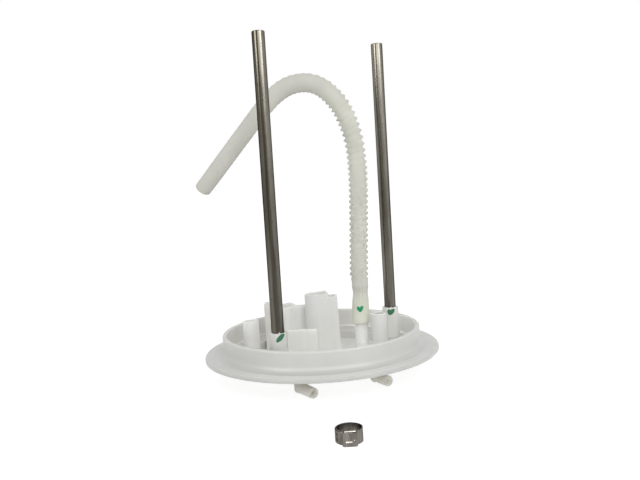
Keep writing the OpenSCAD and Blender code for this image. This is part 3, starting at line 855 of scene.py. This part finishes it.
def make_flange(materials):
    """Rim, collar and sunk floor, with the bosses under it and the valve's seat on it."""
    shapes = [turned([
        (0, UNDER_Z, 0), (PAN_OUT, UNDER_Z, 1.2), (PAN_OUT, -FLANGE_T, 1.4), (FLANGE_R, -FLANGE_T, 0.35),
        (FLANGE_R, 0, 0.9), (COLLAR_R, 0, 4.5), (COLLAR_R, COLLAR_H, 1.1), (COLLAR_IN, COLLAR_H, 0.8),
        (COLLAR_IN, 0, 1.6), (PAN_R, 0, 0.5), (PAN_R, FLOOR_Z, 1.2), (0, FLOOR_Z, 0)], steps=240)]
    shapes += [boss(at, SOCKET_R, UNDER_Z, BOSS_TOP, 0.8) for at in (ROD_LEFT, ROD_RIGHT)]
    shapes += [boss(at, SPARE_R, UNDER_Z, BOSS_TOP, 0.8) for at in (SPARE_LEFT, SPARE_RIGHT)]
    shapes += [boss(at, PIPE_PAD_R, PIPE_PAD_Z, -FLANGE_T / 2, 0.3) for at in PIPE_ROOTS]
    seat = [(1.5, FLOOR_Z - 1, 0), (3, FLOOR_Z - 1, 0), (3, -3, 0.4), (1.5, -3, 0.3)]
    shapes.append(moved(turned(seat, steps=48, ring=True), VALVE))
    settled(joined(*shapes), "flange_moulding", materials["flange"], ["tank_flange"])


def ragged(bm, top, outer, teeth):
    """Raises and lowers the inner lip of a socket where plastic was pressed up round the rod."""
    for vert in bm.verts:
        radius = math.hypot(vert.co.x, vert.co.y)
        if vert.co.z > top - 0.5 and radius < outer:
            angle = math.atan2(vert.co.y, vert.co.x)
            lift = 0.1 * math.sin(7 * angle + 0.5) + 0.07 * math.sin(13 * angle)
            for where, height in teeth:
                off = (angle - math.radians(where) + math.pi) % TURN - math.pi
                lift += height * math.exp(-(off / 0.1) ** 2)
            vert.co.z += lift
    return bm


def make_sockets(materials):
    """Sockets that hold the rods, and the two spare ones."""
    step = SOCKET_H - 0.3
    for name, node, at, teeth, material in (
            ("left_rod_socket", "rod_socket_left", ROD_LEFT, [(-74, 0.9), (-56, -0.3)], "left_socket"),
            ("right_rod_socket", "rod_socket_right", ROD_RIGHT, [(-84, 0.5), (-110, -0.3)],
             "right_socket")):
        bm = turned([
            (ROD_R, -0.1, 0), (SOCKET_R, -0.1, 0), (SOCKET_R - 0.05, 12, 0),
            (SOCKET_R - 0.1, SOCKET_H - 0.2, 0.6), (4.6, step, 0), (ROD_R, step, 0)], steps=120, ring=True)
        ragged(bm, SOCKET_H, 4.8, teeth)
        settled(moved(bm, at), name, materials[material], [node])
    for name, node, at, material in (
            ("left_spare_socket", "spare_socket_left", SPARE_LEFT, "stem"),
            ("right_spare_socket", "spare_socket_right", SPARE_RIGHT, "tower")):
        bm = turned([
            (SPARE_BORE_R, -0.1, 0), (SPARE_R, -0.1, 0), (SPARE_R, SPARE_H, 0.5),
            (SPARE_BORE_R, SPARE_H, 0.4)], ring=True)
        settled(moved(bm, at), name, materials[material], [node])


def make_rods(materials):
    """Guide rods, each with a groove at its socket's mouth."""
    groove = ROD_R - 0.3
    for name, node, at, material in (
            ("left_guide_rod", "guide_rod_left", ROD_LEFT, "left_rod"),
            ("right_guide_rod", "guide_rod_right", ROD_RIGHT, "right_rod")):
        bm = turned([
            (0, ROD_FOOT, 0), (ROD_R, ROD_FOOT, 0.5), (ROD_R, SOCKET_H - 1.5, 0.1),
            (groove, SOCKET_H - 1.4, 0.1), (groove, SOCKET_H - 0.1, 0.1), (ROD_R, SOCKET_H, 0.1),
            (ROD_R, ROD_TOP, 0.55), (0, ROD_TOP, 0)])
        settled(moved(bm, at), name, materials[material], [node])


def make_stem(materials):
    """Stem with low rings round it and, inside the hose's cuff, its barbs."""
    root = HOSE_BORE_R + 0.1 - BARB_DEPTH
    pitch = BARB_L / (BARBS + 0.5)
    corners = [(STEM_BORE_R, FLOOR_Z - 0.1, 0), (STEM_R, FLOOR_Z - 0.1, 0)]
    for n in range(STEM_RINGS):
        z = STEM_RING_Z + n * STEM_RING_PITCH
        corners += [(STEM_R, z - 0.5, 0.1), (STEM_R + 0.25, z, 0.25), (STEM_R, z + 0.5, 0.1)]
    corners += [(STEM_R, STEM_H, 0.2), (root, STEM_H, 0)]
    for i in range(1, BARBS + 1):
        crest = STEM_H + (i - 0.3) * pitch
        corners += [(root + BARB_DEPTH, crest, 0.05), (root, crest + pitch / 2, 0)]
    corners += [(root, STEM_H + BARB_L, 0.3), (STEM_BORE_R, STEM_H + BARB_L, 0.2)]
    bm = moved(turned(corners, ring=True), STEM)
    settled(bm, "stem_moulding", materials["stem"], ["hose_stem"])


def filling(start, end, thick, top, lean=0.0, flare=0.0):
    """Upright wall from one point to another, thick towards +Y, that leans out and flares to its foot."""
    bm = bmesh.new()
    bmesh.ops.create_cube(bm, size=1)
    for vert in bm.verts:
        far = vert.co.x + 0.5
        deep = vert.co.y + 0.5
        low = 0.5 - vert.co.z
        vert.co = Vector((
            start[0] + (end[0] - start[0] + flare * low) * far,
            start[1] + (end[1] - start[1]) * far - lean * low * (1 - deep) + thick * deep,
            top + (FLOOR_Z - top) * low))
    bmesh.ops.bevel(
        bm, geom=bm.edges[:], offset=0.3, offset_type="OFFSET", affect="EDGES", segments=2, profile=0.5,
        material=-1, clamp_overlap=True)
    return bm


def lifted(bm, at, top, height, azimuth, width):
    """Raises a round tower's rim a little round one direction."""
    for vert in bm.verts:
        across = Vector((vert.co.x - at[0], vert.co.y - at[1]))
        if vert.co.z > top - 1 and across.length < 9:
            off = math.degrees(math.atan2(across.y, across.x)) - azimuth
            vert.co.z += height * math.exp(-(off / width) ** 2)
    return bm


def valve_tower():
    """Tall tower, whose front blends into its box."""
    tower = lifted(softened("vent_valve_housing", 0.45), VALVE, VALVE_TOP, 1.0, 40, 32)
    return joined(tower, filling(FAIRING_FROM, FAIRING_TO, 1.3, 32.9, lean=0.35, flare=0.8))


def left_tower():
    """Short tower, with the walls that close its corner towards the connector."""
    tower = lifted(softened("left_tower", 0.45), LEFT_TOWER, LEFT_TOWER_TOP, 1.1, 62, 34)
    return joined(tower, filling(*FRONT_WALL, 4.0, 25.4), filling(*REAR_WALL, 3.0, 25.2))


def make_mouldings(materials):
    """Pieces that keep the CAD's shape, with softened edges."""
    for name, shape, node, material, slot in (
            ("valve_tower", valve_tower(), "vent_valve_housing", "tower", "tower_plastic"),
            ("left_tower_moulding", left_tower(), "left_tower", "left_tower", "tower_plastic"),
            ("stop_wall_moulding", softened("stop_wall", 0.7, steps=3), "stop_wall", "stop",
             "tower_plastic"),
            ("inner_connector_body", softened("inner_connector", 0.35), "inner_connector", "connector",
             "tower_plastic"),
            ("outer_shroud", softened("outer_connector", 0.35), "outer_connector", "port", "port_plastic"),
            ("terminal_blades", softened("terminals", 0.15), "terminals", "terminal", "terminal_metal"),
            ("left_pipe", softened("pipe_elbow_left", 0), "pipe_elbow_left", "port", "port_plastic"),
            ("right_pipe", softened("pipe_elbow_right", 0), "pipe_elbow_right", "port", "port_plastic")):
        settled(shape, name, materials[material], [node])


# Vent valve

def coil(foot, head):
    """Compression spring between two heights, with a closed turn at each end."""
    per_turn = 32
    open_turns = SPRING_TURNS - 2
    closed_rise = 2 * WIRE_R
    open_rise = (head - foot - 2 * closed_rise) / open_turns
    bm = bmesh.new()
    bmesh.ops.create_circle(bm, cap_ends=True, cap_tris=False, segments=10, radius=WIRE_R)
    upright = Matrix.Rotation(math.radians(90), 3, "X")
    bmesh.ops.rotate(bm, cent=(0, 0, 0), matrix=upright, verts=bm.verts)
    bmesh.ops.translate(bm, vec=(SPRING_R, 0, foot), verts=bm.verts)
    end = bm.faces[:]
    for turns, rise in ((1, closed_rise), (open_turns, open_rise), (1, closed_rise)):
        made = bmesh.ops.spin(
            bm, geom=end, cent=(0, 0, 0), axis=(0, 0, 1), dvec=(0, 0, rise / per_turn),
            angle=turns * TURN, steps=turns * per_turn, use_merge=False)
        end = [g for g in made["geom_last"] if isinstance(g, bmesh.types.BMFace)]
    bmesh.ops.remove_doubles(bm, verts=bm.verts, dist=0.0005)
    inner = [face for face in bm.faces if all(len(edge.link_faces) > 2 for edge in face.edges)]
    bmesh.ops.delete(bm, geom=inner, context="FACES_ONLY")
    in_order(bm)
    bmesh.ops.recalc_face_normals(bm, faces=bm.faces)
    return bm


def make_valve(materials):
    """Float, its cap and the spring between them."""
    float_top = FLOAT_Z + FLOAT_L
    well_floor = float_top - WELL_DEPTH
    bm = turned([
        (0, FLOAT_Z, 0), (FLOAT_R, FLOAT_Z, 1.0), (FLOAT_R, float_top, 0.5), (WELL_R, float_top, 0.4),
        (WELL_R, well_floor, 0.4), (0, well_floor, 0)])
    settled(moved(bm, VALVE), "valve_float", materials["float"],
            ["vent_valve_float"], body="valve_float")
    cap = softened("vent_valve_cap", 0.25)
    settled(cap, "valve_cap", materials["tower"], ["vent_valve_cap"])
    foot = well_floor + WIRE_R
    head = CAP_Z - WIRE_R
    bm = moved(coil(foot, head), VALVE)
    spring = settled(bm, "valve_spring", materials["spring"], ["vent_valve_spring"])
    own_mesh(spring)


# Clamp

def strap():
    """Outer end of the clamp's band, bent round it, with two windows that its hooks sit in."""
    bm = bmesh.new()
    bmesh.ops.create_grid(bm, x_segments=44, y_segments=14, size=0.5)
    windows = []
    for face in bm.faces:
        centre = face.calc_center_median()
        for low in (0.11, -0.29):
            if -0.02 < centre.x < 0.07 and low < centre.y < low + 0.2:
                windows.append(face)
    bmesh.ops.delete(bm, geom=windows, context="FACES")
    radius = CLAMP_R + BAND_T + 0.02
    for vert in bm.verts:
        angle = math.radians(STRAP_FROM + (STRAP_TO - STRAP_FROM) * (vert.co.x + 0.5))
        height = 3.5 + vert.co.y * 6.4
        vert.co = Vector((radius * math.cos(angle), radius * math.sin(angle), height))
    bmesh.ops.recalc_face_normals(bm, faces=bm.faces)
    return bm


def bead(x, z, wide, tall, out):
    """Ridge pressed in the front of the clamp's ear, sloping back to its upper edge."""
    bm = bmesh.new()
    bmesh.ops.create_cube(bm, size=1)
    bmesh.ops.scale(bm, vec=(wide, 2 * out, tall), verts=bm.verts)
    for vert in bm.verts:
        if vert.co.y < 0 and vert.co.z > 0:
            vert.co.y += 0.95 * out
            vert.co.x *= 0.9
    bmesh.ops.bevel(
        bm, geom=bm.edges[:], offset=0.16, offset_type="OFFSET", affect="EDGES", segments=3, profile=0.5,
        material=-1, clamp_overlap=True)
    return moved(bm, (CLAMP[0] + x, EAR_Y + out), STAND_Z + z)


def clamp_band():
    """The CAD band, with its ear's face set back a little for the beads on it."""
    bm = softened("hose_clamp", 0.14, steps=2, sharp=30)
    for vert in bm.verts:
        if vert.co.y < EAR_Y + 0.4:
            vert.co.y += 0.45
    return bm


def ear_lip():
    """Bright upper edge of the band behind the ear, bent back a little."""
    bm = bmesh.new()
    bmesh.ops.create_cube(bm, size=1)
    bmesh.ops.scale(bm, vec=(5.6, 0.2, 0.5), verts=bm.verts)
    bent = Matrix.Rotation(math.radians(-30), 3, "X")
    bmesh.ops.rotate(bm, cent=(0, 0, 0), matrix=bent, verts=bm.verts)
    return moved(bm, (CLAMP[0] + 0.1, CLAMP[1] - 6.75), STAND_Z + 7.1)


def make_clamp(materials):
    """Loose clamp in front of the flange."""
    band = joined(clamp_band(), ear_lip(), *(bead(*sizes) for sizes in BEADS))
    settled(band, "clamp_band", materials["clamp"], ["hose_clamp"], body="clamp")
    outer = moved(strap(), CLAMP, STAND_Z)
    piece = settled(outer, "clamp_strap", materials["clamp"], [], body="clamp")
    thick = piece.modifiers.new("sheet_thickness", "SOLIDIFY")
    thick.thickness = 0.3 * MM
    thick.offset = 1
    piece.modifiers.move(1, 0)


# Materials of the pieces

def flange_plastic(marks):
    """Flange, with painted light and shade on its rings from the rim inwards to the sunk floor."""
    # Painted shade on the rim's edge, the fillet, the sides of the rim and collar and the ledge; painted
    # light on the collar's inner wall, most at its right, and in the sunk pan
    return plastic("flange_acetal", (194, 194, 191), marks, roughness=0.36, clouding=0.96, rings=(
        (FLANGE_R - 0.3, (218, 218, 215), ("X", -40, -70, (198, 198, 196)), ("X", 40, 70, (201, 201, 199))),
        (COLLAR_R + 4.8, (195, 195, 192)),
        (COLLAR_R + 1.2, (208, 208, 205), ("X", -20, -60, (203, 203, 199)), ("X", 25, 60, (202, 202, 199))),
        (COLLAR_IN + 0.7, (226, 225, 222), ("X", 15, 45, (254, 254, 252))),
        (COLLAR_IN - 0.6, (204, 203, 198)),
        (PAN_R + 0.8, (222, 221, 218)),
        (PAN_R - 0.6, (238, 238, 235))))


def tower_plastic(marks):
    """Tall tower, valve cap and right spare socket, with painted light inside the tower's two openings."""
    # Painted light: paler patches inside the tower's round opening and its box's pocket, where shade falls
    painted_light_patches = [((*VALVE, VALVE_TOP), 0, (7.5, 7.5, 10)), (BOX_MOUTH, 0, (5.5, 5.5, 8))]
    return plastic(
        "tower_acetal", (230, 230, 227), marks, glow=0.5, depth=0.0008,
        paint_and_light=dict(MOUTH_PAINTED_LIGHT, marks=painted_light_patches))


def port_plastic(marks):
    """Pipes and outer shroud, clearer and a little yellow, with painted light inside the pipes' bores."""
    # Painted light: paler patches inside the pipes' bores, where shade falls
    painted_light_patches = [(at, 0, (3, 3, 3)) for at in PIPE_MOUTHS]
    return plastic(
        "port_acetal", (218, 216, 208), marks, depth=0.006, glow=1.0, clouding=0.88,
        paint_and_light=dict(BORE_PAINTED_LIGHT, marks=painted_light_patches))


def hose_plastic(marks):
    """Hose, see-through on its upright side and dull at its cuff and towards its free end, with painted
    light and shade in tones along its length.
    """
    return plastic(
        "hose_nylon", (188, 188, 179), marks, roughness=0.6, glow=1.0, depth=0.006,
        dull_ends=(("X", -2, 16), ("Z", 42, 50)),
        # Painted light and shade: paler at its foot and along its falling side, darker towards its free end
        shading_fades=(
            ("Z", 120, 150, (185, 185, 176)), ("Z", 50, 42, (207, 207, 198)), ("X", 22, 4, (197, 197, 188)),
            ("X", -12, -30, (204, 204, 195)), ("X", -42, -70, (192, 192, 183))))


def cuff_plastic(marks):
    """Lower cuff, paler and a little yellower at its foot and darker upwards, a painted light and shade,
    with two green strokes that meet.
    """
    strokes = [((26.8, -5.7, 25.5), -30, (1.25, 3, 1.9)), ((28.3, -5.8, 25.6), 28, (1.25, 3, 2.4))]
    return plastic(
        "cuff_nylon", (229, 231, 217), marks, roughness=0.5, glow=0,
        # Painted light and shade: darker towards the cuff's top
        shading_fades=(("Z", 20, 26, (216, 218, 203)), ("Z", 31, 39, (207, 207, 198))),
        paint_and_light=dict(GREEN, marks=strokes))


def socket_plastic(name, colour, marks, strokes):
    """Rod socket with dull green strokes near its mouth."""
    return plastic(name, colour, marks, clouding=0.9, paint_and_light=dict(DULL_GREEN, marks=strokes))


def all_materials():
    """Every piece's material by a short name."""
    mould = mould_marks_group()
    metal = metal_marks_group()
    return {
        "flange": flange_plastic(mould),
        "tower": tower_plastic(mould),
        # Painted shade: the left tower darkens at its far left end, at the fin
        "left_tower": plastic(
            "left_tower_acetal", (233, 233, 230), mould, shading_fades=(("X", -32, -38, (221, 221, 217)),)),
        # Painted shade: the stop wall darkens towards its foot
        "stop": plastic("stop_acetal", (237, 237, 234), mould, shading_fades=(("Z", 4, -1, (222, 222, 218)),)),
        "connector": plastic("connector_acetal", (248, 248, 245), mould),
        # Painted light: the stem's paler tone lifts it where shade falls in the pan; the left spare socket
        # shares this material
        "stem": plastic("stem_acetal", (241, 241, 239), mould),
        "port": port_plastic(mould),
        "hose": hose_plastic(mould),
        "cuff": cuff_plastic(mould),
        "left_socket": socket_plastic(
            "left_socket_acetal", (215, 215, 211), mould, [((-24.9, -51.4, 19.2), 46, (1.5, 3.2, 3.6))]),
        # Painted light: the right socket's paler tone lifts it where the collar's shade falls
        "right_socket": socket_plastic(
            "right_socket_acetal", (231, 231, 227), mould,
            [((49.2, 11.3, 18.7), -20, (1.5, 3, 2.2)), ((50.8, 11.3, 18.9), 45, (1.5, 3, 2.6))]),
        # Each rod's colour stops are painted reflections round it, at its middle and at its foot
        "left_rod": rod_metal("left_rod_steel", metal, ROD_LEFT, (
            (0.0, 80), (0.3, 52), (0.41, 66), (0.48, 42), (0.515, 48), (0.57, 106), (0.68, 96), (0.85, 66)
        ), (
            (0.0, 90), (0.32, 104), (0.42, 98), (0.48, 56), (0.53, 56), (0.61, 98), (0.68, 104), (0.85, 80)
        )),
        "right_rod": rod_metal("right_rod_steel", metal, ROD_RIGHT, (
            (0.0, 90), (0.33, 106), (0.415, 78), (0.475, 62), (0.525, 84), (0.575, 124), (0.64, 90),
            (0.85, 80)
        ), (
            (0.0, 90), (0.33, 124), (0.42, 112), (0.485, 92), (0.555, 100), (0.61, 112), (0.69, 98),
            (0.85, 90)
        )),
        "clamp": thin_metal("clamp_band_steel", (136, 133, 128), (92, 84, 78), metal, 0.22, 0.36),
        "spring": thin_metal("spring_wire_steel", (176, 176, 178), (140, 138, 136), metal, 0.2, 0.35),
        "terminal": thin_metal("terminal_tin", (205, 200, 184), (176, 168, 148), metal, 0.22, 0.36),
        "float": dark_foam("float_foam", mould),
    }


# Making

photo_camera()
materials = all_materials()
make_hose(materials)
studio_world(0.79)
studio_floor()
studio_lamps()
make_flange(materials)
make_sockets(materials)
make_rods(materials)
make_stem(materials)
make_mouldings(materials)
make_valve(materials)
make_clamp(materials)

bpy.context.scene.view_settings.view_transform = "Standard"
